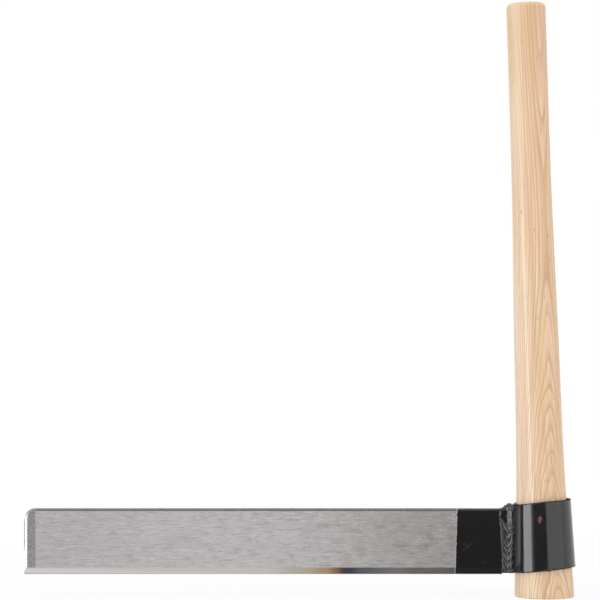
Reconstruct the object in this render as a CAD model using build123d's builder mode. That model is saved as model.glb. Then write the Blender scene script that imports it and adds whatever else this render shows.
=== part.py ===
from build123d import *
from math import cos, radians, sin, tan
import os

# A froe, the splitting tool: a straight blade welded by its heel to a tapered steel eye,
# and an ash handle pushed up through the eye from below until its swell wedges there.
# Millimetres, +Z up. The blade runs along -X with its cutting edge down, and the origin
# is the centre of the handle's level butt face. The handle leans towards the blade.

# Blade
blade_length = 376.5        # toe to the wall of the eye
blade_height = 50.8
blade_thickness = 6.35
edge_height = 17.2          # cutting edge above the butt face
edge_land = 0.2             # width of the blunt cutting edge
bevel_angle = 30.0          # degrees between each bevel and the blade's mid plane
spine_round = 1.2
toe_corner_radius = 8.5
toe_chamfer_width = 2.4     # the ground band along the toe, measured on the face
toe_chamfer_depth = 1.6     # and measured through the thickness
heel_notch_length = 7.2     # the edge is burnt back at the heel by the end of the weld
heel_notch_height = 1.4

# Eye: heights are on the handle's axis, and radii are of its outer wall there
eye_wall = 3.175
eye_radius_top = 22.85
eye_taper = 2.0             # how much wider it is at the bottom rim, in radius
rim_above_edge = 4.0        # bottom rim over the cutting edge
rim_above_spine = 5.0       # top rim over the spine
rim_tilt = 5.75             # degrees by which both rims rise away from the blade
rim_bow_bottom = 1.0        # how far the bottom rim climbs at the front and the back
rim_bow_top = 1.8           # the same for the top rim
rim_round = 0.4

# Handle: heights are along its axis
handle_lean = 1.8           # degrees from upright
handle_length = 459.0
shoulder_swell = 0.85       # how far the wood stands out of the bore below the eye
shoulder_drop = 9.2         # the full swell is reached this far below the bottom rim
butt_flare = 0.35           # how much wider the butt is than the shoulder, in radius
butt_round = 0.8
mid_taper = 2.025           # radius lost between the neck and mid height
mid_height = 183.0
grip_taper = 4.275          # radius lost between the neck and the grip
grip_length = 93.2          # straight stretch, with the crown's rounding
crown_height = 0.8          # rise of the domed top
crown_round = 4.0

# Fits
fit_clearance = 0.05        # radial gap between the handle and the bore
shoulder_clearance = 0.1    # between the bottom rim and the wood's shoulder
neck_gap = 0.3              # radial gap where the handle leaves the top of the eye
root_gap = 0.4              # between the blade's heel and the eye, filled by the weld

# Weld
weld_leg_blade = 9.2        # along the blade's face, from the wall of the eye
weld_leg_eye = 5.6          # out from the blade's face, along the wall of the eye
weld_sag = 0.8              # hollow of the bead's face under the line between its toes
weld_overdraw = 1.6         # the bead's section is drawn this far into the eye, then trimmed
weld_lift = 1.1             # the bead starts this far above the cutting edge
ripple_depth = 0.5
ripple_pitch = 4.4
cap_height = 4.0            # bead over the spine
cap_profile = ((0.0, 1.0), (0.45, 0.9), (0.8, 0.62), (1.0, 0.3))  # (height, width) as shares

# Worked out from the sizes above
spine_z = edge_height + blade_height
half_thickness = blade_thickness / 2
bevel_height = (half_thickness - edge_land / 2) / tan(radians(bevel_angle))
eye_bottom = edge_height + rim_above_edge
eye_top = spine_z + rim_above_spine
eye_radius_bottom = eye_radius_top + eye_taper
neck_radius = eye_radius_top - eye_wall - neck_gap
mid_radius = neck_radius - mid_taper
grip_radius = neck_radius - grip_taper
shoulder_radius = eye_radius_bottom - eye_wall + shoulder_swell
butt_radius = shoulder_radius + butt_flare
grip_top = handle_length - crown_height
cone_reach = (eye_top - eye_bottom) / 3   # trimming cones run this far past both rims
trim_reach = 3 * eye_radius_bottom        # half size of the space that trims the rims

# The handle's half profile is drawn in handle_plane: x is the radius, y runs up the axis.
lean_x, lean_z = -sin(radians(handle_lean)), cos(radians(handle_lean))
handle_plane = Plane(origin=(0, 0, 0), x_dir=(lean_z, 0, -lean_x), z_dir=(0, -1, 0))
handle_axis = Axis((0, 0, 0), (lean_x, 0, lean_z))
eye_side_x = eye_bottom * lean_x - eye_radius_bottom * lean_z

# Both rims are curves drawn in rim_plane that run straight along its normal.
rim_run = (cos(radians(rim_tilt)), 0, sin(radians(rim_tilt)))
rim_plane = Plane(origin=(0, 0, 0), x_dir=(0, 1, 0), z_dir=rim_run)


def eye_radius(height):
    """Outer radius of the eye's taper at a height along the handle's axis."""
    return eye_radius_top + eye_taper * (eye_top - height) / (eye_top - eye_bottom)


def eye_cone(offset):
    """Solid cone of the eye's outer taper, grown by an offset and longer than the eye."""
    low = eye_bottom - cone_reach
    high = eye_top + cone_reach
    with BuildPart() as cone:
        with BuildSketch(handle_plane):
            with BuildLine():
                Polyline(
                    (0, low),
                    (eye_radius(low) + offset, low),
                    (eye_radius(high) + offset, high),
                    (0, high),
                    close=True,
                )
            make_face()
        revolve(axis=handle_axis)
    return cone.part


def rim_space(drop):
    """The space between the eye's two rims, with the lower one dropped by an amount."""
    low = eye_bottom - drop
    bow_share = (trim_reach / eye_radius_bottom) ** 2
    low_end = low + rim_bow_bottom * bow_share
    top_end = eye_top + rim_bow_top * bow_share
    with BuildPart() as space:
        with BuildSketch(rim_plane):
            with BuildLine():
                ThreePointArc((-trim_reach, low_end), (0, low), (trim_reach, low_end))
                Line((trim_reach, low_end), (trim_reach, top_end))
                ThreePointArc((trim_reach, top_end), (0, eye_top), (-trim_reach, top_end))
                Line((-trim_reach, top_end), (-trim_reach, low_end))
            make_face()
        extrude(amount=trim_reach, both=True)
    return space.part


def blade_outline(y, toe_setback):
    """Side view of the blade at a distance from its mid plane, with the toe set back."""
    toe = eye_side_x - blade_length + toe_setback
    notch_x = eye_side_x - heel_notch_length
    notch_z = edge_height + heel_notch_height
    corner_start = (toe + toe_corner_radius, spine_z)
    corner_end = (toe, spine_z - toe_corner_radius)
    with BuildSketch(Plane.XZ.offset(-y)) as outline:
        with BuildLine():
            RadiusArc(corner_start, corner_end, -toe_corner_radius)
            Polyline(
                corner_end,
                (toe, edge_height),
                (notch_x, edge_height),
                (notch_x, notch_z),
                (0, notch_z),
                (0, spine_z),
                corner_start,
            )
        make_face()
    return outline.sketch


def weld_section(height, side, swell):
    """Section of the bead in the corner between one face of the blade and the eye."""
    toe_x = eye_side_x - weld_leg_blade - swell
    far_y = half_thickness + weld_leg_eye
    wall_x = height * lean_x / lean_z - (eye_radius(height) ** 2 - far_y**2) ** 0.5
    toe = Vector(toe_x, side * half_thickness)
    far = Vector(wall_x + weld_overdraw, side * (far_y + swell))
    outward = Vector(-abs(far.Y - toe.Y), side * (far.X - toe.X)).normalized()
    crest = (toe + far) / 2 + outward * (swell - weld_sag)
    with BuildSketch(Plane.XY.offset(height)) as section:
        with BuildLine():
            ThreePointArc(toe, crest, far)
            Polyline(far, (eye_side_x + weld_overdraw, 0), (toe_x, 0), toe)
        make_face()
    return section.sketch


eye_core = eye_cone(0)

# Blade: a flat bar with its toe chamfered on both faces and its lower edge bevelled
with BuildPart() as blade:
    chamfer_y = half_thickness - toe_chamfer_depth
    extrude(blade_outline(-chamfer_y, 0), amount=-2 * chamfer_y)
    for side in (-1, 1):
        full = blade_outline(side * chamfer_y, 0)
        set_back = blade_outline(side * half_thickness, toe_chamfer_width)
        loft([full, set_back], ruled=True)
    with BuildSketch(Plane.YZ):
        with BuildLine():
            Polyline(
                (-edge_land / 2, edge_height),
                (edge_land / 2, edge_height),
                (half_thickness, edge_height + bevel_height),
                (half_thickness, spine_z),
                (-half_thickness, spine_z),
                (-half_thickness, edge_height + bevel_height),
                close=True,
            )
        bar = make_face()
        fillet(bar.vertices().group_by(Axis.Y)[-1], spine_round)
    extrude(amount=eye_side_x - blade_length, mode=Mode.INTERSECT)
    add(eye_cone(root_gap), mode=Mode.SUBTRACT)

# Eye: a strip rolled into a taper, wider below, with its seam closed at the blade
with BuildPart() as eye:
    add(eye_core)
    add(eye_cone(-eye_wall), mode=Mode.SUBTRACT)
    add(rim_space(0), mode=Mode.INTERSECT)
    fillet(eye.edges().filter_by(GeomType.LINE, reverse=True), rim_round)

# The room that the eye takes from the handle: everything outside the bore, between the rims
with BuildPart() as eye_room:
    add(eye_cone(eye_wall))
    add(eye_cone(-eye_wall - fit_clearance), mode=Mode.SUBTRACT)
    add(rim_space(shoulder_clearance), mode=Mode.INTERSECT)

# Handle: turned ash, pressed to the shape of the bore and swollen below the eye. Its
# profile starts below the butt face, which is then cut level.
with BuildPart() as handle:
    with BuildSketch(handle_plane):
        with BuildLine():
            Polyline((0, -butt_radius), (butt_radius, -butt_radius), (butt_radius, 0))
            Spline(
                (butt_radius, 0),
                (shoulder_radius, eye_bottom - shoulder_drop),
                (neck_radius, eye_top),
                (mid_radius, mid_height),
                (grip_radius, grip_top - grip_length),
                tangents=((0, 1), (0, 1)),
            )
            Line((grip_radius, grip_top - grip_length), (grip_radius, grip_top))
            dome_radius = (grip_radius**2 + crown_height**2) / (2 * crown_height)
            RadiusArc((grip_radius, grip_top), (0, handle_length), -dome_radius)
            Line((0, handle_length), (0, -butt_radius))
        make_face()
    revolve(axis=handle_axis)
    split(bisect_by=Plane.XY, keep=Keep.TOP)
    crown_edge = handle.edges().filter_by(lambda edge: edge.is_closed).sort_by(Axis.Z)[-1]
    fillet(crown_edge, crown_round)
    fillet(handle.edges().group_by(Axis.Z)[0], butt_round)
    add(eye_room.part, mode=Mode.SUBTRACT)

# Welds: a rippled bead in each corner between the blade and the eye
weld_bottom = edge_height + weld_lift
weld_steps = 2 * round((spine_z - weld_bottom) / ripple_pitch)
beads = {}
for side, name in ((-1, "weld_front"), (1, "weld_back")):
    with BuildPart() as bead:
        sections = []
        for step in range(weld_steps + 1):
            height = weld_bottom + (spine_z - weld_bottom) * step / weld_steps
            sections.append(weld_section(height, side, ripple_depth * (step % 2)))
        loft(sections, ruled=True)
        add(eye_core, mode=Mode.SUBTRACT)
        add(blade.part, mode=Mode.SUBTRACT)
    beads[name] = bead

# Weld over the spine: a low dome that spans both beads and leans on the eye
with BuildPart() as weld_cap:
    cap_half_width = half_thickness + weld_leg_eye / 2
    cap_half_length = (weld_leg_blade + weld_overdraw) / 2
    for rise, share in cap_profile:
        with BuildSketch(Plane.XY.offset(spine_z + rise * cap_height)):
            with Locations((eye_side_x + weld_overdraw - cap_half_length, 0)):
                Ellipse(cap_half_length * share, cap_half_width * share)
    loft()
    add(eye_core, mode=Mode.SUBTRACT)

pieces = {"blade": blade, "eye": eye, "handle": handle, "weld_cap": weld_cap, **beads}
os.makedirs("parts", exist_ok=True)
for name, piece in pieces.items():
    piece.part.label = name
    export_step(piece.part, f"parts/{name}.step")
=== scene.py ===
import bpy
import math
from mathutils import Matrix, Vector, noise


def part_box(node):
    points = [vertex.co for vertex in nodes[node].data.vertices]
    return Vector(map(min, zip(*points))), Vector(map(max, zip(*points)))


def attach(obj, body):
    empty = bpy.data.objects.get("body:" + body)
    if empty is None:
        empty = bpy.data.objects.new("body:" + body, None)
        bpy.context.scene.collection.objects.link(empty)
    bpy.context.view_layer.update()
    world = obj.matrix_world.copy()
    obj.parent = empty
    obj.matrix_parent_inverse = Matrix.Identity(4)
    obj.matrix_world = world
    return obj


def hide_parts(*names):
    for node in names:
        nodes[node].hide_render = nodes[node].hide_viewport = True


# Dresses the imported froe: black enamel on the eye, the welds and the heel of a ground blade,
# and bare ash on the handle. Metres, +Z up; the blade runs along -X and the camera looks along +Y.

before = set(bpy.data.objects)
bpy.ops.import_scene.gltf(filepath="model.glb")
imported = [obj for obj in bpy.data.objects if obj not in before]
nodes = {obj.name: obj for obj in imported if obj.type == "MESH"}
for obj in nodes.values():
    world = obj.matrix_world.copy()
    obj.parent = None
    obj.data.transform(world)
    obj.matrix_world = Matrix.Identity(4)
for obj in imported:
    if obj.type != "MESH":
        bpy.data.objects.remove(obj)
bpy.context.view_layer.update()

# Photograph: 600 x 600, seen level from in front
METRES_PER_PIXEL = 0.000773
ORIGIN_PIXEL = (544.4, 596.3)          # where the centre of the butt face falls
CAMERA_PLACE = (-0.1889, -2.0, 0.229)
SENSOR_WIDTH = 36.0                    # mm
FRAME_WIDTH = 0.4638                   # what the camera takes in at the blade's plane

# Shape of the tool, as the part has it
LEAN = math.radians(1.8)               # the handle leans towards the blade
BLADE_LOW, BLADE_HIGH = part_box("blade")
HALF_THICKNESS = BLADE_HIGH.y
EDGE_Z, SPINE_Z = BLADE_LOW.z, BLADE_HIGH.z
BEVEL_TOP_Z = 0.02253
TOE_X = BLADE_LOW.x
TOE_END = TOE_X + 0.0085               # where the rounded toe corner meets the spine
EYE_BOTTOM, EYE_TOP = 0.0212, 0.073
EYE_RADIUS_TOP, EYE_TAPER = 0.02285, 0.002

# Weld: the run up each side of the heel, and the forms on it, read off the photograph
BEAD_ROWS, BEAD_STEPS = 190, 52        # rows of the mesh up the bead, and steps across it
BEAD_INSET_Y = 0.0028                  # the bead's hidden side lies this far from the mid plane
WELD_BOTTOM = 0.0183
WELD_LEG_EYE = 0.0034                  # how far it stands out along the eye
WELD_TOE_CLIMB = (0.03, 0.062)         # heights between which its edge on the blade shifts
WELD_TOE_BOTTOM, WELD_TOE_TOP = -0.0332, -0.0347   # its edge on the blade
RIPPLE_X, RIPPLE_SLOPE, RIPPLE_PITCH, RIPPLE_HEIGHT = -0.0287, 1.8, 0.0054, 0.0005
LINE_PITCH, LINE_HEIGHT = 0.0016, 0.00011   # fine lines that each ripple is made of
# The last pool ends below in a point, and its two lower edges rise from there at these slopes
POOL_X, POOL_Z, POOL_LEFT, POOL_RIGHT = -0.0302, 0.0556, 1.35, 0.15
POOL_SPREAD = (0.0621, 0.0008)         # height at which it spreads furthest, and by how much
POOL_RIM = 0.0005                      # height of the rim along its edges
# Lumps on the beads: (x, z, half width, half height, height)
LUMPS = ((-0.0276, 0.0381, 0.0012, 0.0013, 0.0006), (-0.0272, 0.0230, 0.0016, 0.0016, 0.0008),
         (-0.0274, 0.0312, 0.0028, 0.0056, 0.0010), (-0.0294, 0.0624, 0.0006, 0.0007, 0.00014),
         (-0.0290, 0.0528, 0.0010, 0.0018, 0.0006), (-0.0322, 0.0463, 0.0011, 0.0034, 0.0005))
MOUND_STEPS = 44
MOUND_BASE, MOUND_UNDER = 0.0668, 0.0663   # both lie inside the steel
# Ridge of the weld over the spine: (x, height over its base, half width)
MOUND = ((-0.0352, 0.0012, 0.0034), (-0.0334, 0.0016, 0.0038), (-0.0302, 0.0037, 0.0042),
         (-0.0280, 0.0052, 0.0052), (-0.0266, 0.0054, 0.0062), (-0.0252, 0.0046, 0.0076),
         (-0.0239, 0.0048, 0.0078), (-0.0228, 0.0052, 0.0056), (-0.0221, 0.0042, 0.0030))
# Eye: its rims are cut by gently bowed sheets that rise away from the blade
EYE_STEPS, EYE_ROWS, ROUND_STEPS = 300, 56, 5   # round it, up it, and round each softened edge
EYE_WALL = 0.003175
EYE_INSET = 0.00006                    # keeps its dents inside the wall
RIM_TILT = math.radians(5.75)
RIM_BOW_BOTTOM, RIM_BOW_TOP = 0.001, 0.0018
RIM_ROUND = 0.0005
CHIP = (-0.0056, 0.0611)               # where rust shows through the eye's enamel
CHIP_DEPTH = 0.00007
# Colour of that rust from its bottom up: (share, colour)
RUST = ((0.0, (146, 88, 84)), (0.28, (134, 60, 46)), (0.6, (118, 72, 36)), (1.0, (50, 40, 26)))

# Wood of the handle
RING = 0.0017                          # width of a growth ring
RING_CENTRE = 0.08                     # the pith lies this far behind the handle
# Where the rings break out in pointed arches up the front: (pixel row, ring number there)
ARCHES = ((596, -7.1), (520, -2.6), (475.7, -0.46), (453.5, 0.59), (433.4, 1.49), (409, 2.37),
          (387, 4.06), (360.4, 5.02), (318.8, 6.08), (245, 6.8), (150, 6.0), (0, 3.6))
ARCH_POINT, ARCH_TIP = 0.22, 0.0022    # how steeply their arms drop, and how round the tip is
RING_TURN = (math.radians(-23), math.radians(-38))   # how the arches turn aside with height
TURN_HEIGHTS = (0.09, 0.4)
RING_HEIGHT, RING_LOW, RING_HIGH = 0.47, 30.0, 80.0  # what the curve of ring numbers spans
# How dark a ring is across it, from one dark line to the next: (place, share)
LATE_WOOD = ((0.0, 1.0), (0.16, 0.9), (0.34, 0.34), (0.6, 0.08), (0.9, 0.0), (1.0, 0.9))
SHEEN_HIGHLIGHT_X = -0.0088                     # a painted highlight streak up the handle's front, the left soft box's sheen
# Radius of the handle at a few heights, which the arches ride on: (height, radius)
GIRTH = ((0.0, 0.0229), (0.012, 0.0225), (0.073, 0.0194), (0.183, 0.01735), (0.3, 0.0156),
         (0.366, 0.0151), (0.46, 0.0151))

# Blade
PAINT_TOP_X, PAINT_BOTTOM_X = -0.0673, -0.0689   # the enamel's edge at the spine and at the edge
# Colour of the bevel along its length: (pixel column, colour)
TEMPER = ((40, (193, 190, 187)), (270, (197, 195, 192)), (296, (181, 175, 166)),
          (304, (182, 171, 157)), (312, (181, 165, 146)), (320, (172, 154, 128)),
          (330, (165, 142, 107)), (338, (138, 108, 74)), (345, (78, 66, 65)),
          (353, (64, 66, 82)), (361, (86, 89, 95)), (376, (100, 100, 100)),
          (400, (117, 115, 113)), (416, (103, 101, 98)), (456, (106, 104, 102)))
# Faint scratches on the heel's enamel: (pixel column, pixel row, slope, half length)
SCRATCHES = ((468, 546, 0.9, 0.0045), (466, 545, -0.6, 0.0034), (484, 562, 0.5, 0.0012))

# Studio
WORLD_FILL = 0.87
FLOOR_CENTRE, FLOOR_HALF = (-0.13, 0.2, -0.0002), (0.57, 0.45)
FLOOR_SHADE = 0.86                     # near the tool; it turns white further off
FLOOR_FADE = (0.6, 0.95)               # as shares of the way to the floor's edge
# Cards that the gloss reflects as dark bands: (name, corners, shade)
CARDS = (
    ("card_over_camera", ((-1.05, -1.3, -0.12), (0.25, -1.3, -0.12), (0.25, -1.3, 0.11),
                          (-1.05, -1.3, 0.11)), 0.1),
    ("card_under_camera", ((-0.12, -1.3, -0.34), (0.36, -1.3, -0.34), (0.36, -1.3, -0.12),
                           (-0.12, -1.3, -0.12)), 0.1),
    ("card_at_left", ((-1.68, -0.31, -0.3), (-1.68, 0.34, -0.3), (-1.68, 0.34, 0.4),
                      (-1.68, -0.31, 0.4)), 0.12),
    ("card_under_heel", ((-0.067, -0.06, -0.03), (-0.02, -0.06, -0.03), (-0.02, -0.012, -0.03),
                         (-0.067, -0.012, -0.03)), 0.42),
)
# Soft boxes: (name, place, what they aim at, size, watts, whether they only show in gloss)
LAMPS = (
    ("left_box", (-1.4206, -0.7298, 0.02), (0.0, -0.02, 0.02), (0.95, 0.5), 5.5, False),
    ("left_box_above", (-1.22, -0.76, 0.75), (0.0, -0.02, 0.04), (0.66, 0.8), 9.0, True),
    ("left_box_below", (-1.22, -0.76, -0.66), (0.0, -0.02, 0.04), (0.66, 0.8), 9.0, True),
    ("right_box", (1.2, -1.3, 0.5), (0.0, 0.0, 0.2), (2.2, 1.6), 3.9, False),
    ("top_box", (-0.2, -0.3, 1.7), (-0.2, 0.0, 0.0), (1.6, 1.2), 8.0, False),
)


def px(x):
    """X in the row frame of a pixel column, in the blade's plane."""
    return (x - ORIGIN_PIXEL[0]) * METRES_PER_PIXEL


def pz(y):
    """Z in the row frame of a pixel row, in the blade's plane."""
    return (ORIGIN_PIXEL[1] - y) * METRES_PER_PIXEL


def linear(red, green, blue):
    """A colour given in 0 to 255, as a linear colour with alpha."""
    def one(value):
        share = value / 255
        return share / 12.92 if share <= 0.04045 else ((share + 0.055) / 1.055) ** 2.4
    return (one(red), one(green), one(blue), 1.0)


class Graph:
    """Short calls for the nodes of one material. Inputs are numbers, colours or sockets."""

    def __init__(self, name, **constants):
        self.material = bpy.data.materials.new(name)
        self.material.use_nodes = True
        self.tree = self.material.node_tree
        self.shader = self.tree.nodes["Principled BSDF"]
        for socket, value in constants.items():
            self.shader.inputs[socket.replace("_", " ")].default_value = value
        self.place = self.node("ShaderNodeTexCoord").outputs["Object"]
        self.x, self.y, self.z = self.apart(self.place)

    def node(self, kind, inputs=(), **settings):
        made = self.tree.nodes.new(kind)
        for key, value in settings.items():
            setattr(made, key, value)
        for key, value in dict(inputs).items():
            self.put(made.inputs[key], value)
        return made

    def put(self, socket, value):
        if isinstance(value, bpy.types.NodeSocket):
            self.tree.links.new(value, socket)
        else:
            socket.default_value = value

    def math(self, operation, a, b=0.0):
        made = self.node("ShaderNodeMath", operation=operation)
        self.put(made.inputs[0], a)
        self.put(made.inputs[1], b)
        return made.outputs[0]

    def add(self, a, b):
        return self.math("ADD", a, b)

    def times(self, a, b):
        return self.math("MULTIPLY", a, b)

    def scaled(self, x, y, z, source=None):
        """A vector, the place if none is given, stretched by a factor along each axis."""
        made = self.node("ShaderNodeVectorMath", operation="MULTIPLY")
        self.put(made.inputs[0], source or self.place)
        made.inputs[1].default_value = (x, y, z)
        return made.outputs[0]

    def apart(self, source):
        """The three coordinates of a vector."""
        return self.node("ShaderNodeSeparateXYZ", {"Vector": source}).outputs

    def together(self, x, y, z):
        return self.node("ShaderNodeCombineXYZ", {"X": x, "Y": y, "Z": z}).outputs[0]

    def noise(self, vector, detail=2.0, roughness=0.5):
        made = self.node("ShaderNodeTexNoise", {"Vector": vector, "Scale": 1.0, "Detail": detail,
                                                "Roughness": roughness, "Distortion": 0.0})
        return made.outputs["Fac"]

    def step(self, value, low, high, start=0.0, end=1.0):
        """A smooth change from start to end while the value goes from low to high."""
        made = self.node("ShaderNodeMapRange", {"Value": value, "From Min": low, "From Max": high,
                                                "To Min": start, "To Max": end},
                         interpolation_type="SMOOTHSTEP")
        return made.outputs[0]

    def span(self, value, low, high, start=0.0, end=1.0):
        """A straight change from start to end while the value goes from low to high."""
        made = self.node("ShaderNodeMapRange", {"Value": value, "From Min": low, "From Max": high,
                                                "To Min": start, "To Max": end})
        return made.outputs[0]

    def ramp(self, value, stops):
        """A colour for a value, from stops of (place, colour)."""
        made = self.node("ShaderNodeValToRGB", {"Fac": value})
        elements = made.color_ramp.elements
        while len(elements) < len(stops):
            elements.new(0.5)
        for element, (place, colour) in zip(elements, stops):
            element.position = place
            element.color = colour
        return made.outputs["Color"]

    def blend(self, share, a, b, mode="MIX"):
        """Colour a turned into b by a share."""
        made = self.node("ShaderNodeMix", data_type="RGBA", blend_type=mode)
        for key, value in ((0, share), (6, a), (7, b)):
            self.put(made.inputs[key], value)
        return made.outputs[2]

    def bump(self, height, distance, strength=1.0):
        made = self.node("ShaderNodeBump", {"Height": height, "Distance": distance,
                                            "Strength": strength})
        self.put(self.shader.inputs["Normal"], made.outputs[0])

    def finish(self, **links):
        for socket, value in links.items():
            self.put(self.shader.inputs[socket.replace("_", " ")], value)
        return self.material


def dress(name, material):
    """Gives a CAD node its material."""
    node = nodes[name]
    node.data.materials.clear()
    node.data.materials.append(material)


# Ash
def girth(height):
    """Radius of the handle at a height, by straight steps."""
    for (low, low_radius), (high, high_radius) in zip(GIRTH, GIRTH[1:]):
        if height <= high:
            return low_radius + (high_radius - low_radius) * (height - low) / (high - low)
    return GIRTH[-1][1]


def leaning_place(graph):
    """The place with the handle's lean taken out."""
    lean = graph.times(graph.z, math.tan(LEAN))
    return graph.together(graph.add(graph.x, lean), graph.y, graph.z)


def front_rings(graph):
    """Ring number at the front of the handle, by height."""
    points = sorted((pz(row), count + (girth(max(pz(row), 0.0)) + RING_CENTRE) / RING)
                    for row, count in ARCHES)
    curve = graph.node("ShaderNodeFloatCurve")
    curve_points = curve.mapping.curves[0].points
    for index, (height, count) in enumerate(points):
        spot = (max(height, 0.0) / RING_HEIGHT, (count - RING_LOW) / (RING_HIGH - RING_LOW))
        if index < 2:
            curve_points[index].location = spot
        else:
            curve_points.new(*spot)
    curve.mapping.update()
    graph.put(curve.inputs["Value"], graph.math("DIVIDE", graph.z, RING_HEIGHT))
    return graph.span(curve.outputs[0], 0.0, 1.0, RING_LOW, RING_HIGH)


def ring_count(graph, upright):
    """Ring number through the wood."""
    turn = graph.span(graph.z, *TURN_HEIGHTS, *RING_TURN)
    turned = graph.node("ShaderNodeVectorRotate", {"Vector": upright, "Angle": turn},
                        rotation_type="Z_AXIS")
    across, depth, _ = graph.apart(turned.outputs[0])
    depth = graph.math("SUBTRACT", RING_CENTRE, depth)
    across_squared = graph.times(across, across)
    radius = graph.math("SQRT", graph.add(graph.times(depth, depth), across_squared))
    off = graph.math("SQRT", graph.add(across_squared, ARCH_TIP ** 2))
    radius = graph.math("SUBTRACT", radius, graph.times(graph.add(off, -ARCH_TIP), ARCH_POINT))
    count = graph.math("SUBTRACT", front_rings(graph), graph.math("DIVIDE", radius, RING))
    sway = graph.noise(graph.scaled(22, 22, 7, upright), detail=2.0)
    fine = graph.noise(graph.scaled(160, 160, 14, upright), detail=1.0)
    count = graph.add(count, graph.span(sway, 0.3, 0.7, -0.5, 0.5))
    return graph.add(count, graph.span(fine, 0.3, 0.7, 0.17, 0.43))


def rim_shadow_and_nicks(graph):
    """Share of the painted contact shadow where the eye's rims meet the wood, and of the torn nicks
    the lower one cut, which the painted shadow runs into.
    """
    bowed = graph.times(graph.times(graph.y, graph.y), 1 / (EYE_RADIUS_TOP + EYE_TAPER) ** 2)
    nicks = graph.noise(graph.scaled(420, 420, 160), detail=2.0, roughness=0.7)
    share = 0.0
    for level, bow, sign, reach in ((EYE_BOTTOM, RIM_BOW_BOTTOM, -1, 0.0005),
                                    (EYE_TOP, RIM_BOW_TOP, 1, 0.0002)):
        rim = graph.add(graph.times(bowed, bow / math.cos(RIM_TILT)), level / math.cos(RIM_TILT))
        rim = graph.add(rim, graph.times(graph.x, math.tan(RIM_TILT)))
        gap = graph.times(graph.math("SUBTRACT", graph.z, rim), sign)
        torn = graph.times(graph.step(nicks, 0.52, 0.72, 0.0, 2.2 * reach),
                           graph.step(graph.x, -0.004, 0.002))
        gap = graph.math("SUBTRACT", gap, torn)
        # painted contact shadow on the wood just off each rim
        edge = graph.times(graph.step(gap, reach * 0.4, reach * 1.4, 0.75, 0.0),
                           graph.step(gap, -0.0014, -0.0009))
        share = graph.math("MAXIMUM", edge, share)
    return share


def late_wood(graph, count):
    """Share of the dark line in each ring, and the ring's whole number."""
    uneven = graph.noise(graph.together(graph.times(count, 0.55), 0.0, 0.0), detail=1.0)
    count = graph.add(count, graph.span(uneven, 0.2, 0.8, -0.45, 0.45))
    ring = graph.math("FLOOR", count)
    line = graph.ramp(graph.math("FRACT", count), [(place, (share, share, share, 1))
                                                   for place, share in LATE_WOOD])
    strength = graph.noise(graph.together(graph.times(ring, 5.1), 0.0, graph.times(graph.z, 9.0)))
    return graph.times(line, graph.span(strength, 0.3, 0.7, 0.35, 1.0)), ring


def ring_colour(graph, ring, across):
    """Colour of each ring, with painted light: a painted sheen makes it paler along the left side,
    and painted light makes it paler still low on the left by the butt; deeper at the crown.
    """
    tone = graph.noise(graph.together(graph.times(ring, 3.7), graph.times(ring, 1.3), 0.0))
    # painted sheen: the left side is paler where the left soft box's reflection falls on the wood
    side = graph.step(across, -0.011, -0.003)
    pale = graph.blend(side, linear(243, 226, 208), linear(240, 209, 178))
    warm = graph.blend(side, linear(240, 218, 190), linear(234, 199, 163))
    colour = graph.blend(graph.step(tone, 0.35, 0.65), pale, warm)
    # painted light: paler low on the left, where the butt gets less light under the eye
    butt = graph.times(graph.step(graph.z, 0.03, 0.014), graph.math("SUBTRACT", 1.0, side))
    colour = graph.blend(graph.times(butt, 0.8), colour, linear(255, 232, 203))
    crown = graph.times(graph.step(graph.z, 0.36, 0.44),
                        graph.step(across, -0.012, 0.004, 0.34, 0.56))
    return graph.blend(crown, colour, linear(212, 172, 130))


def stranded(graph, colour, upright, across):
    """The colour with tints and strands that run up the wood, and one painted highlight streak on
    its front.
    """
    strands = graph.noise(graph.scaled(520, 520, 5, upright), detail=2.0, roughness=0.6)
    hue = graph.noise(graph.scaled(330, 330, 4, upright), detail=1.0)
    tint = graph.ramp(hue, ((0.36, (1.0, 0.95, 0.99, 1)), (0.5, (1, 1, 1, 1)),
                            (0.64, (0.98, 1.0, 0.92, 1))))
    colour = graph.blend(1.0, colour, tint, "MULTIPLY")
    colour = graph.blend(graph.step(strands, 0.44, 0.64, 0.0, 0.55), colour, linear(214, 178, 144))
    colour = graph.blend(graph.step(strands, 0.42, 0.3, 0.0, 0.4), colour, linear(252, 236, 214))
    # painted highlight: a pale streak up the front, stronger low down, where the left soft box's
    # sheen falls
    off = graph.math("ABSOLUTE", graph.add(across, -SHEEN_HIGHLIGHT_X))
    streak = graph.times(graph.step(off, 0.0012, 0.0005), graph.step(graph.y, 0.002, -0.002))
    streak = graph.times(streak, graph.step(graph.z, 0.36, 0.2))
    return graph.blend(graph.times(streak, 0.6), colour, linear(255, 238, 216))


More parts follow.
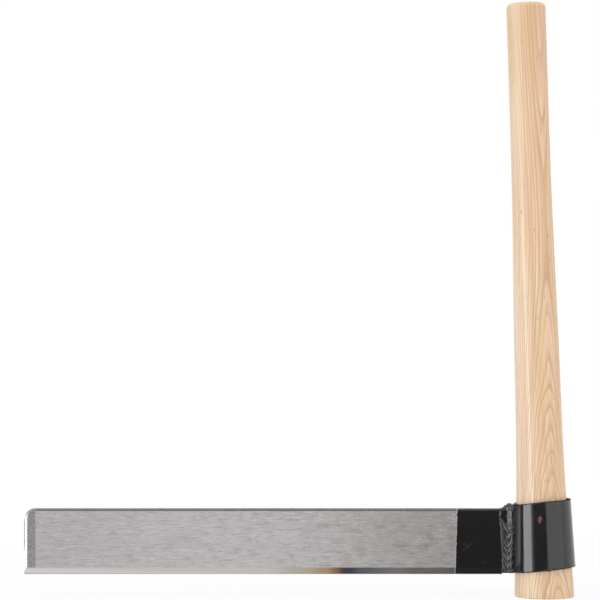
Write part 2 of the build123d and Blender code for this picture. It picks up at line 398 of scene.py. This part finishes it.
def ash():
    """Bare ash: growth rings, pores and fibres, with painted contact shadow and torn nicks where
    the eye sits, and painted sheen and light on its left.
    """
    graph = Graph("ash", IOR=1.45)
    upright = leaning_place(graph)
    across = graph.apart(upright)[0]
    line, ring = late_wood(graph, ring_count(graph, upright))
    patches = graph.noise(graph.scaled(120, 120, 9, upright), detail=3.0)
    pores = graph.noise(graph.scaled(2600, 2600, 95, upright), detail=2.0, roughness=0.6)
    fibres = graph.noise(graph.scaled(1300, 1300, 18, upright), detail=3.0, roughness=0.7)
    flecks = graph.noise(graph.scaled(800, 800, 160, upright), detail=0.0)
    pore_share = graph.times(graph.step(pores, 0.53, 0.7), graph.add(graph.times(line, 0.5), 0.08))

    colour = stranded(graph, ring_colour(graph, ring, across), upright, across)
    colour = graph.blend(graph.times(line, 0.9), colour, linear(198, 158, 118))
    colour = graph.blend(graph.step(patches, 0.52, 0.75, 0.0, 0.4), colour, linear(220, 180, 136))
    colour = graph.blend(pore_share, colour, linear(170, 130, 90))
    colour = graph.blend(graph.step(fibres, 0.35, 0.7, 0.0, 0.3), colour, linear(210, 172, 134))
    colour = graph.blend(graph.step(flecks, 0.8, 0.85, 0.0, 0.5), colour, linear(140, 104, 72))
    # painted shadow: brown contact shadow along the eye's rims, reaching into the nicks below the
    # lower rim
    colour = graph.blend(rim_shadow_and_nicks(graph), colour, linear(84, 58, 38))

    height = graph.math("SUBTRACT", graph.times(fibres, 0.5), graph.times(pore_share, 1.2))
    graph.bump(height, 0.00012, 0.5)
    rough = graph.add(graph.span(fibres, 0.3, 0.7, 0.42, 0.52), graph.times(pore_share, 0.3))
    return graph.finish(Base_Color=colour, Roughness=rough)


# Steel
def ground_flats(graph, streaks, grain):
    """Colour of the blade's flats: fine long grinding streaks, smudges and specks."""
    long_streaks = graph.noise(graph.scaled(9, 200, 1500), detail=2.0)
    short = graph.noise(graph.scaled(130, 400, 1250), detail=2.0, roughness=0.6)
    blots = graph.noise(graph.scaled(95, 60, 190), detail=4.0, roughness=0.65)
    specks = graph.noise(graph.scaled(420, 60, 640), detail=1.0)
    left, middle, right = linear(202, 197, 199), linear(211, 207, 208), linear(184, 180, 179)
    ground = graph.blend(graph.step(graph.x, -0.38, -0.27), left, middle)
    ground = graph.blend(graph.step(graph.x, -0.2, -0.075), ground, right)
    smudge = graph.times(graph.step(blots, 0.5, 0.68, 0.0, 0.45),
                         graph.span(graph.x, -0.3, -0.07, 0.35, 1.0))
    for share, shade in (
            (graph.step(streaks, 0.36, 0.68, 0.0, 0.45), linear(150, 147, 147)),
            (graph.step(long_streaks, 0.45, 0.7, 0.0, 0.16), linear(210, 207, 207)),
            (graph.step(grain, 0.55, 0.75, 0.0, 0.4), linear(134, 130, 128)),
            (graph.step(short, 0.52, 0.72, 0.0, 0.5), linear(146, 142, 142)),
            (graph.step(short, 0.44, 0.3, 0.0, 0.45), linear(228, 225, 225)),
            (smudge, linear(142, 134, 126)),
            (graph.step(blots, 0.42, 0.3, 0.0, 0.3), linear(222, 219, 219)),
            (graph.step(specks, 0.7, 0.78, 0.0, 0.5), linear(112, 107, 104))):
        ground = graph.blend(share, ground, shade)
    return ground


def toe_grinding(graph, ground, marks):
    """The flats' colour with the toe's band ground across it, and a painted dark reflection on the
    tip of the chamfer.
    """
    ripple = graph.noise(graph.scaled(420, 100, 60), detail=1.0)
    wavy = graph.add(graph.x, graph.times(ripple, 0.0012))
    toe = graph.times(graph.step(graph.x, TOE_X + 0.0022, TOE_X + 0.0034),
                      graph.step(wavy, TOE_X + 0.0088, TOE_X + 0.0104, 1.0, 0.0))
    toe_colour = graph.blend(graph.step(marks, 0.35, 0.65), linear(124, 123, 122),
                             linear(166, 165, 165))
    ground = graph.blend(graph.times(toe, 0.85), ground, toe_colour)
    # painted reflection: the outermost sliver of the toe's chamfer is darkened, where its rounding
    # mirrors the dark
    tip = graph.times(graph.step(graph.x, TOE_X + 0.0009, TOE_X + 0.0004),
                      graph.times(graph.step(graph.z, 0.034, 0.04),
                                  graph.step(graph.z, 0.062, 0.058)))
    return graph.blend(graph.times(tip, 0.8), ground, linear(70, 69, 68))


def bevel_colour(graph, streaks, clouds):
    """Colour of the bevel, blued and browned where the grinding ran hot."""
    first, last = px(TEMPER[0][0]), px(TEMPER[-1][0])
    along = graph.span(graph.add(graph.x, graph.times(clouds, 0.004)), first, last)
    temper = graph.ramp(along, [((px(column) - first) / (last - first), linear(*colour))
                                for column, colour in TEMPER])
    colour = graph.blend(graph.step(streaks, 0.35, 0.7, 0.0, 0.1), temper, linear(90, 88, 86))
    worn = graph.step(graph.z, EDGE_Z + 0.0003, EDGE_Z + 0.0009, 0.35, 0.0)
    return graph.blend(worn, colour, linear(110, 108, 106))


def toe_cut(graph):
    """Share of the toe's end face and rounded corner, which face neither side."""
    sideways = graph.apart(graph.node("ShaderNodeTexCoord").outputs["Normal"])[1]
    return graph.times(graph.step(graph.math("ABSOLUTE", sideways), 0.5, 0.3),
                       graph.step(graph.x, TOE_END + 0.001, TOE_END))


def heel_scratches(graph):
    """Share of the faint scratches on the heel's enamel."""
    share = 0.0
    for column, row, slope, reach in SCRATCHES:
        across, along = graph.add(graph.x, -px(column)), graph.add(graph.z, -pz(row))
        off = graph.math("ABSOLUTE", graph.math("SUBTRACT", along, graph.times(across, slope)))
        mark = graph.times(graph.step(off, 0.0008, 0.0002),
                           graph.step(graph.math("ABSOLUTE", across), reach, reach * 0.6))
        share = graph.math("MAXIMUM", mark, share)
    return share


def heel_film(graph, spine, bevel, grain):
    """Colour of the enamel on the heel, with a painted reflection that makes it lighter along the
    spine.
    """
    # painted reflection: the enamel over the rounded spine is lighter, as where it mirrors the
    # light above
    film = graph.blend(spine, linear(15, 15, 15), linear(46, 46, 46))
    film = graph.blend(graph.times(bevel, 0.5), film, linear(16, 16, 16))
    film = graph.blend(graph.step(grain, 0.62, 0.8, 0.0, 0.3), film, linear(52, 52, 52))
    return graph.blend(graph.times(heel_scratches(graph), 0.3), film, linear(74, 74, 74))


def past_mask(graph):
    """How far a point lies past the line up to which the heel is painted."""
    wander = graph.noise(graph.scaled(0, 60, 420), detail=3.0)
    edge = graph.span(graph.z, EDGE_Z, SPINE_Z, PAINT_BOTTOM_X, PAINT_TOP_X)
    wavy = graph.add(graph.x, graph.span(wander, 0.3, 0.7, -0.0004, 0.0004))
    return graph.math("SUBTRACT", wavy, edge)


def blade_steel():
    """Ground steel with its bevel, toe and dark spine, and the enamel on the heel."""
    graph = Graph("blade_steel", IOR=1.5, Anisotropic=0.9, Anisotropic_Rotation=0.25)
    streaks = graph.noise(graph.scaled(26, 400, 5200), detail=3.0, roughness=0.65)
    grain = graph.noise(graph.scaled(900, 900, 1500), detail=2.0, roughness=0.7)
    clouds = graph.noise(graph.scaled(28, 60, 60), detail=3.0)
    marks = graph.noise(graph.scaled(900, 900, 500), detail=3.0, roughness=0.8)

    ground = toe_grinding(graph, ground_flats(graph, streaks, grain), marks)
    bevel = graph.step(graph.z, BEVEL_TOP_Z - 0.0002, BEVEL_TOP_Z + 0.0002, 1.0, 0.0)
    steel = graph.blend(bevel, ground, bevel_colour(graph, streaks, clouds))
    cut = toe_cut(graph)
    cut_colour = graph.blend(graph.step(marks, 0.35, 0.65), linear(122, 120, 119),
                             linear(146, 144, 143))
    steel = graph.blend(graph.times(cut, 0.95), steel, cut_colour)
    ragged = graph.add(graph.z, graph.times(grain, 0.0004))
    spine = graph.times(graph.step(ragged, SPINE_Z - 0.0019, SPINE_Z - 0.0014),
                        graph.step(graph.x, TOE_END, TOE_END + 0.001))
    scale = graph.blend(graph.step(grain, 0.4, 0.65), linear(94, 94, 96), linear(116, 115, 115))
    steel = graph.blend(graph.times(spine, 0.9), steel, scale)

    past = past_mask(graph)
    paint = graph.step(past, -0.0001, 0.0001)
    metal = graph.math("SUBTRACT", 1.0, paint)
    bare_line = graph.times(graph.step(past, -0.0012, -0.0003), metal)
    steel = graph.blend(graph.times(bare_line, 0.55), steel, linear(205, 204, 202))
    colour = graph.blend(paint, steel, heel_film(graph, spine, bevel, grain))

    rough = graph.blend(paint, graph.span(streaks, 0.3, 0.7, 0.27, 0.37),
                        graph.span(grain, 0.3, 0.7, 0.12, 0.18))
    rough = graph.blend(cut, rough, (0.7, 0.7, 0.7, 1.0))
    height = graph.blend(paint, graph.add(graph.times(streaks, 0.7), graph.times(grain, 0.3)),
                         graph.times(clouds, 0.6))
    graph.bump(height, 0.00005, 0.5)
    return graph.finish(Base_Color=colour, Metallic=metal, Roughness=rough)


def rust_chip(graph, ragged):
    """Share of the chip in the eye's enamel, and the colour of the rust in it."""
    across = graph.math("SUBTRACT", graph.x, CHIP[0])
    along = graph.times(graph.math("SUBTRACT", graph.z, CHIP[1]), 0.5)
    away = graph.math("SQRT", graph.add(graph.times(across, across), graph.times(along, along)))
    away = graph.add(away, graph.span(ragged, 0.2, 0.8, -0.0011, 0.0011))
    chip = graph.times(graph.step(away, 0.0009, 0.0017, 1.0, 0.0),
                       graph.step(graph.y, -0.004, 0.0, 1.0, 0.0))
    height = graph.add(graph.z, graph.times(ragged, 0.003))
    rust = graph.ramp(graph.span(height, CHIP[1] - 0.002, CHIP[1] + 0.006),
                      [(share, linear(*colour)) for share, colour in RUST])
    rust = graph.blend(graph.step(ragged, 0.46, 0.6, 0.0, 0.5), rust, linear(38, 28, 24))
    rust = graph.blend(graph.step(away, 0.0004, 0.0015, 0.0, 0.75), rust, linear(34, 26, 22))
    return chip, rust


def enamel(name, gloss, roughness, wobble, chipped=False):
    """Black gloss enamel with a little orange peel and dust, and rust where it is chipped."""
    graph = Graph(name, IOR=gloss)
    peel = graph.noise(graph.scaled(900, 900, 900), detail=1.0)
    flow = graph.noise(graph.scaled(90, 90, 60), detail=2.0)
    dust = graph.noise(graph.scaled(2400, 2400, 2400), detail=1.0)
    colour = graph.blend(graph.step(dust, 0.66, 0.8, 0.0, 0.25), linear(24, 24, 25),
                         linear(60, 58, 56))
    rough = graph.span(flow, 0.3, 0.7, roughness - 0.03, roughness + 0.05)
    height = graph.add(graph.times(peel, 0.3), flow)
    if chipped:
        ragged = graph.noise(graph.scaled(420, 420, 420), detail=3.0, roughness=0.7)
        chip, rust = rust_chip(graph, ragged)
        colour = graph.blend(chip, colour, rust)
        rough = graph.add(rough, graph.times(chip, 0.6))
        height = graph.add(height, graph.times(chip, graph.times(ragged, 6.0)))
    graph.bump(height, wobble, 1.0)
    return graph.finish(Base_Color=colour, Roughness=rough)


def worn_rim():
    """Enamel rubbed thin on the sheared rims, brown where the steel comes through."""
    graph = Graph("worn_rim", IOR=1.06)
    patches = graph.noise(graph.scaled(260, 260, 260), detail=3.0, roughness=0.65)
    grain = graph.noise(graph.scaled(1500, 1500, 1500), detail=2.0)
    colour = graph.blend(graph.step(patches, 0.4, 0.6), linear(25, 24, 23), linear(48, 39, 32))
    colour = graph.blend(graph.step(grain, 0.55, 0.75, 0.0, 0.5), colour, linear(24, 22, 21))
    graph.bump(graph.add(patches, graph.times(grain, 0.3)), 0.0001, 1.0)
    return graph.finish(Base_Color=colour, Roughness=graph.span(grain, 0.3, 0.7, 0.6, 0.8))


# Pieces
def piece(name, points, faces, material, node, body="head"):
    """A smooth closed mesh that stands for a CAD node."""
    mesh = bpy.data.meshes.new(name)
    mesh.from_pydata(points, [], faces)
    mesh.polygons.foreach_set("use_smooth", [True] * len(mesh.polygons))
    mesh.materials.append(material)
    made = bpy.data.objects.new(name, mesh)
    bpy.context.scene.collection.objects.link(made)
    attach(made, body)
    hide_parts(node)
    return made


def tube_faces(rows, columns):
    """Faces of a closed tube of rings of points, with both ends closed."""
    faces = [(r * columns + c, r * columns + (c + 1) % columns,
              (r + 1) * columns + (c + 1) % columns, (r + 1) * columns + c)
             for r in range(rows - 1) for c in range(columns)]
    faces.append(tuple(reversed(range(columns))))
    faces.append(tuple(range((rows - 1) * columns, rows * columns)))
    return faces


def eye_radius(height):
    """Outer radius of the eye at a height along the handle."""
    return EYE_RADIUS_TOP + EYE_TAPER * (EYE_TOP - height) / (EYE_TOP - EYE_BOTTOM)


def eased(value, low, high):
    """0 at low, 1 at high, and a smooth change between."""
    share = min(max((value - low) / (high - low), 0.0), 1.0)
    return share * share * (3 - 2 * share)


def uneven(x, y, z, scale, seed):
    """Uneven relief from -1 to 1, the same at every run."""
    return noise.fractal(Vector((x, y, z)) / scale + Vector((seed, 0, 0)), 0.8, 2.1, 3)


def over_pool_edge(x, z):
    """How far a point lies above the lower edge of the last weld pool."""
    slope = POOL_LEFT if x < POOL_X else POOL_RIGHT
    return z - POOL_Z - slope * abs(x - POOL_X)


def ripples(x, z, seed):
    """Height of the run's ripples, which bend like arrowheads, and of the fine lines on them."""
    bend = abs(x - RIPPLE_X + 0.0009 * noise.noise(Vector((seed, 0, z / 0.007))))
    phase = (z - RIPPLE_SLOPE * bend) / RIPPLE_PITCH
    phase += 0.5 * noise.noise(Vector((0, seed, z / 0.009)))
    share = phase - math.floor(phase)
    size = 0.8 + 0.7 * noise.noise(Vector((seed, math.floor(phase) * 1.7, 0.4)))
    size *= 0.8 + 0.2 * eased(x, RIPPLE_X - 0.0035, RIPPLE_X + 0.0005)
    ripple = size * (math.sin(math.pi * share) ** 0.7 - 0.5) * RIPPLE_HEIGHT
    patch = eased(noise.noise(Vector((x / 0.004, seed, z / 0.006))), -0.1, 0.35)
    fine = math.sin(2 * math.pi * phase * RIPPLE_PITCH / LINE_PITCH) * LINE_HEIGHT * patch
    return ripple + fine


def bead_relief(x, z, seed):
    """Height of the ripples, the last pool, the lumps and the grit over the plain bead."""
    over = over_pool_edge(x, z)
    soft = eased(x, POOL_X, POOL_X + 0.002)
    inside = eased(over, -0.0004 - 0.0025 * soft, 0.0006 + 0.0025 * soft)
    rim = POOL_RIM * (1 - soft) * math.exp(-(over / 0.0006) ** 2)
    lumps = sum(high * math.exp(-((x - at) / wide) ** 2 - ((z - up) / tall) ** 2)
                for at, up, wide, tall, high in LUMPS)
    grit = 0.00013 * uneven(x, 0, z, 0.0026, seed) + 0.00005 * uneven(x, 0, z, 0.0009, seed + 5)
    return ripples(x, z, seed) * (1 - inside) + rim + lumps + grit * (1 - 0.9 * inside)


def bead_rise(share, z):
    """Height of the plain bead across it, from its edge on the blade to its edge on the eye.

    A step at the blade's edge with the last pool's rim on it, a nearly flat foot, and a slope up
    the eye.
    """
    rim = 0.1 * math.exp(-((z - POOL_SPREAD[0]) / 0.004) ** 2 - ((share - 0.08) / 0.05) ** 2)
    return 0.06 * eased(share, 0.0, 0.1) + rim + 0.2 * share + 0.7 * eased(share, 0.5, 0.9)


def bead_row(z, side, seed):
    """Points across the bead at a height, from its edge on the blade, and back inside the steel."""
    far = HALF_THICKNESS + WELD_LEG_EYE + 0.0003 * uneven(0, 0, z, 0.004, seed + 9)
    wall = -z * math.tan(LEAN) - math.sqrt(eye_radius(z) ** 2 - far ** 2)
    toe_x = WELD_TOE_BOTTOM + (WELD_TOE_TOP - WELD_TOE_BOTTOM) * eased(z, *WELD_TOE_CLIMB)
    toe_x += 0.0008 * uneven(0, 0, z, 0.003, seed + 3)
    toe_x -= POOL_SPREAD[1] * math.exp(-((z - POOL_SPREAD[0]) / 0.0035) ** 2)
    ends = 0.35 + 0.65 * eased(z, WELD_BOTTOM - 0.001, WELD_BOTTOM + 0.002)
    points = []
    for step in range(BEAD_STEPS + 1):
        share = step / BEAD_STEPS
        rise = bead_rise(share, z) * (far - HALF_THICKNESS)
        x = toe_x + (wall + 0.0003 - toe_x) * share
        relief = bead_relief(x, z, seed) * eased(share, 0.0, 0.1) * eased(share, 1.02, 0.9)
        lift = max((rise + relief) * ends, 0.0)
        points.append((x - 0.3 * relief, side * (HALF_THICKNESS + lift), z))
    points.append((wall + 0.0012, side * BEAD_INSET_Y, z))
    points.append((toe_x + 0.0003, side * BEAD_INSET_Y, z))
    return points


def bead(name, node, side, seed, material):
    """The run of weld up one side of the blade's heel."""
    points = []
    for row in range(BEAD_ROWS):
        z = WELD_BOTTOM + (SPINE_Z - WELD_BOTTOM) * row / (BEAD_ROWS - 1)
        points += bead_row(z, side, seed)
    faces = tube_faces(BEAD_ROWS, len(points) // BEAD_ROWS)
    if side > 0:
        faces = [tuple(reversed(face)) for face in faces]
    return piece(name, points, faces, material, node)


def mound_size(x):
    """Height and half width of the weld over the spine."""
    for (x0, h0, w0), (x1, h1, w1) in zip(MOUND, MOUND[1:]):
        if x <= x1 + 1e-9:
            share = eased(x, x0, x1)
            return h0 + (h1 - h0) * share, w0 + (w1 - w0) * share


def slab_faces(steps):
    """Faces of a closed slab: a square grid of points, the same again under it, and its rim."""
    columns, count = steps + 1, (steps + 1) ** 2
    faces = []
    for i in range(steps):
        for j in range(steps):
            a, b = i * columns + j, (i + 1) * columns + j
            faces.append((a, b, b + 1, a + 1))
            faces.append((count + a + 1, count + b + 1, count + b, count + a))
    rim = list(range(columns))
    rim += [i * columns + steps for i in range(1, steps + 1)]
    rim += [steps * columns + j for j in range(steps - 1, -1, -1)]
    rim += [i * columns for i in range(steps - 1, 0, -1)]
    return faces + [(a, b, count + b, count + a) for a, b in zip(rim, rim[1:] + rim[:1])]


def mound(name, node, material):
    """The weld over the spine, which climbs to the eye and laps on its rim."""
    first, last = MOUND[0][0], MOUND[-1][0]
    top, under = [], []
    for i in range(MOUND_STEPS + 1):
        x = first + (last - first) * i / MOUND_STEPS
        height, width = mound_size(x)
        for j in range(MOUND_STEPS + 1):
            side = 2 * j / MOUND_STEPS - 1
            y = width * math.sin(side * math.pi / 2)
            dome = math.cos(side * math.pi / 2) ** 0.8
            grit = 0.00016 * uneven(x, y, 0, 0.0026, 3) + 0.00004 * uneven(x, y, 0, 0.0009, 8)
            folds = 0.00009 * math.sin(x / 0.0022 * 2 * math.pi + y / 0.003)
            top.append((x, y, MOUND_BASE + height * dome + (grit + folds) * dome))
            under.append((x, y, MOUND_UNDER))
    return piece(name, top + under, slab_faces(MOUND_STEPS), material, node)


def rim_height(bottom, x, y):
    """Height of a rim over a point."""
    level, bow = (EYE_BOTTOM, RIM_BOW_BOTTOM) if bottom else (EYE_TOP, RIM_BOW_TOP)
    level += bow * (y / (EYE_RADIUS_TOP + EYE_TAPER)) ** 2
    return level / math.cos(RIM_TILT) + x * math.tan(RIM_TILT)


def eye_loop():
    """Section of the eye's wall, from the outside of the bottom rim up and round to it again.

    Each point is (share of the height, drop from the rim it is near, depth into the wall).
    """
    arc = [math.pi / 2 * step / ROUND_STEPS for step in range(ROUND_STEPS + 1)]
    corner = [(RIM_ROUND * (1 - math.sin(a)), RIM_ROUND * (1 - math.cos(a))) for a in arc]
    outside = [(0.0, drop, depth) for depth, drop in corner[:-1]]
    outside += [(step / EYE_ROWS, RIM_ROUND * (1 - 2 * step / EYE_ROWS), 0.0)
                for step in range(EYE_ROWS + 1)]
    over = [(1.0, -drop, depth) for depth, drop in reversed(corner[:-1])]
    inner = [(share, drop, EYE_WALL - depth) for share, drop, depth in reversed(outside + over)]
    return outside + over + inner


def eye_relief(x, y, z):
    """How far the strip is out of true where it was rolled, and where the enamel is chipped."""
    angle = math.atan2(y, x)
    flats = 0.00005 * noise.noise(Vector((math.cos(angle) * 2.2, math.sin(angle) * 2.2, z / 0.05)))
    dents = 0.00002 * noise.noise(Vector((x, y, z)) / 0.009) - EYE_INSET
    chip = 0.0
    if y < 0:
        away = math.hypot(x - CHIP[0], (z - CHIP[1]) * 0.62)
        away += 0.0006 * uneven(x, 0, z, 0.003, 2)
        chip = CHIP_DEPTH * (1 - eased(away, 0.0010, 0.0018))
    return flats + dents - chip


def eye_point(angle, share, drop, depth):
    """A point of the eye's wall, for a point of its section turned to an angle."""
    height = EYE_BOTTOM + (EYE_TOP - EYE_BOTTOM) * share
    # The rims' heights hang on where the leaning wall is, so the height settles in a few rounds
    for _ in range(3):
        radius = eye_radius(height) - depth
        flat = radius * math.cos(angle)
        x = flat * math.cos(LEAN) - height * math.sin(LEAN)
        y = radius * math.sin(angle)
        low, high = rim_height(True, x, y), rim_height(False, x, y)
        z = low + (high - low) * share + drop
        height = (z - flat * math.sin(LEAN)) / math.cos(LEAN)
    out = eye_relief(x, y, z) if depth == 0.0 else 0.0
    return x + out * math.cos(angle), y + out * math.sin(angle), z


def rolled_eye(material, rim_material):
    """The eye: a strip rolled to a taper, with softened rims."""
    loop = eye_loop()
    count = len(loop)
    points = [eye_point(2 * math.pi * column / EYE_STEPS, *spot)
              for column in range(EYE_STEPS) for spot in loop]
    faces = [(a * count + i, ((a + 1) % EYE_STEPS) * count + i,
              ((a + 1) % EYE_STEPS) * count + (i + 1) % count, a * count + (i + 1) % count)
             for a in range(EYE_STEPS) for i in range(count)]
    made = piece("rolled_eye", points, faces, material, "eye")
    made.data.materials.append(rim_material)
    for index, polygon in enumerate(made.data.polygons):
        i = index % count
        polygon.material_index = 0 if loop[i][2] == loop[(i + 1) % count][2] else 1
    return made


# Studio
def area_lamp(name, place, aim, size, power, gloss_only):
    """A soft box at a place, turned towards a point."""
    lamp = bpy.data.lights.new(name, "AREA")
    lamp.shape, lamp.size, lamp.size_y, lamp.energy = "RECTANGLE", size[0], size[1], power
    made = bpy.data.objects.new(name, lamp)
    bpy.context.scene.collection.objects.link(made)
    made.location = place
    made.rotation_euler = (Vector(aim) - Vector(place)).to_track_quat("-Z", "Y").to_euler()
    made.visible_camera = False
    made.visible_diffuse = not gloss_only


def seen_share(tree, share):
    """A share for rays from the camera, and for those seen in gloss or through glass."""
    path = tree.nodes.new("ShaderNodeLightPath")
    total = path.outputs["Is Camera Ray"]
    for ray in ("Is Glossy Ray", "Is Transmission Ray"):
        most = tree.nodes.new("ShaderNodeMath")
        most.operation = "MAXIMUM"
        tree.links.new(total, most.inputs[0])
        tree.links.new(path.outputs[ray], most.inputs[1])
        total = most.outputs[0]
    scaled = tree.nodes.new("ShaderNodeMath")
    scaled.operation = "MULTIPLY"
    tree.links.new(total, scaled.inputs[0])
    if isinstance(share, bpy.types.NodeSocket):
        tree.links.new(share, scaled.inputs[1])
    else:
        scaled.inputs[1].default_value = share
    return scaled.outputs[0]


def white_world(strength):
    """White where it is seen, and a soft fill elsewhere."""
    world = bpy.data.worlds.new("studio")
    bpy.context.scene.world = world
    world.use_nodes = True
    tree = world.node_tree
    seen = tree.nodes.new("ShaderNodeBackground")
    seen.inputs["Color"].default_value = (1, 1, 1, 1)
    fill = tree.nodes["Background"]
    fill.inputs["Color"].default_value = (1, 1, 1, 1)
    fill.inputs["Strength"].default_value = strength
    mix = tree.nodes.new("ShaderNodeMixShader")
    tree.links.new(seen_share(tree, 1.0), mix.inputs[0])
    tree.links.new(fill.outputs[0], mix.inputs[1])
    tree.links.new(seen.outputs[0], mix.inputs[2])
    tree.links.new(mix.outputs[0], tree.nodes["World Output"].inputs[0])


def sheet(name, corners):
    """A flat sheet through its corners."""
    mesh = bpy.data.meshes.new(name)
    mesh.from_pydata(corners, [], [tuple(range(len(corners)))])
    made = bpy.data.objects.new(name, mesh)
    bpy.context.scene.collection.objects.link(made)
    return made


def from_middle(tree):
    """How far a point of the floor lies from its middle: 1 at the middle of each side."""
    place = tree.nodes.new("ShaderNodeTexCoord")
    shrunk = tree.nodes.new("ShaderNodeVectorMath")
    shrunk.operation = "DIVIDE"
    tree.links.new(place.outputs["Object"], shrunk.inputs[0])
    shrunk.inputs[1].default_value = (*FLOOR_HALF, 1.0)
    length = tree.nodes.new("ShaderNodeVectorMath")
    length.operation = "LENGTH"
    tree.links.new(shrunk.outputs[0], length.inputs[0])
    return length.outputs["Value"]


def floor_material():
    """White card that takes a shadow near the tool, and is plain white further off."""
    material = bpy.data.materials.new("floor")
    material.use_nodes = True
    tree = material.node_tree
    tree.nodes.remove(tree.nodes["Principled BSDF"])
    matt = tree.nodes.new("ShaderNodeBsdfDiffuse")
    matt.inputs["Color"].default_value = (FLOOR_SHADE, FLOOR_SHADE, FLOOR_SHADE, 1)
    glow = tree.nodes.new("ShaderNodeEmission")
    glow.inputs["Strength"].default_value = 1.0
    far = tree.nodes.new("ShaderNodeMapRange")
    far.interpolation_type = "SMOOTHSTEP"
    for key, value in (("From Min", FLOOR_FADE[0]), ("From Max", FLOOR_FADE[1]),
                       ("To Min", FLOOR_SHADE), ("To Max", 1.0)):
        far.inputs[key].default_value = value
    tree.links.new(from_middle(tree), far.inputs["Value"])
    mix = tree.nodes.new("ShaderNodeMixShader")
    tree.links.new(seen_share(tree, far.outputs[0]), mix.inputs[0])
    tree.links.new(matt.outputs[0], mix.inputs[1])
    tree.links.new(glow.outputs[0], mix.inputs[2])
    tree.links.new(mix.outputs[0], tree.nodes["Material Output"].inputs[0])
    return material


def floor():
    """The white floor, which only the camera and soft light meet."""
    half_x, half_y = FLOOR_HALF
    made = sheet("floor", [(-half_x, -half_y, 0), (half_x, -half_y, 0), (half_x, half_y, 0),
                           (-half_x, half_y, 0)])
    made.location = FLOOR_CENTRE
    made.data.materials.append(floor_material())
    made.visible_glossy = False


def card(name, corners, shade):
    """A plain card that gloss reflects and the camera misses."""
    made = sheet(name, corners)
    material = bpy.data.materials.new(name)
    material.use_nodes = True
    shader = material.node_tree.nodes["Principled BSDF"]
    shader.inputs["Base Color"].default_value = (shade, shade, shade, 1)
    shader.inputs["Roughness"].default_value = 0.9
    made.data.materials.append(material)
    made.visible_camera = False
    made.visible_shadow = False


def camera():
    """A level camera in front of the tool, as the photograph was taken."""
    data = bpy.data.cameras.new("camera")
    data.sensor_width = SENSOR_WIDTH
    data.lens = SENSOR_WIDTH * -CAMERA_PLACE[1] / FRAME_WIDTH
    made = bpy.data.objects.new("camera", data)
    bpy.context.scene.collection.objects.link(made)
    made.location = CAMERA_PLACE
    made.rotation_euler = (math.radians(90), 0, 0)
    bpy.context.scene.camera = made


black = enamel("black_enamel", gloss=1.6, roughness=0.1, wobble=0.000015, chipped=True)
crusted = enamel("weld_enamel", gloss=1.5, roughness=0.1, wobble=0.00003)
dress("handle", ash())
dress("blade", blade_steel())
rolled_eye(black, worn_rim())
bead("bead_front", "weld_front", side=-1, seed=0.0, material=crusted)
bead("bead_back", "weld_back", side=1, seed=40.0, material=crusted)
mound("bead_over_spine", "weld_cap", crusted)
white_world(WORLD_FILL)
floor()
for entry in CARDS:
    card(*entry)
for entry in LAMPS:
    area_lamp(*entry)
camera()
bpy.context.scene.view_settings.view_transform = "Standard"
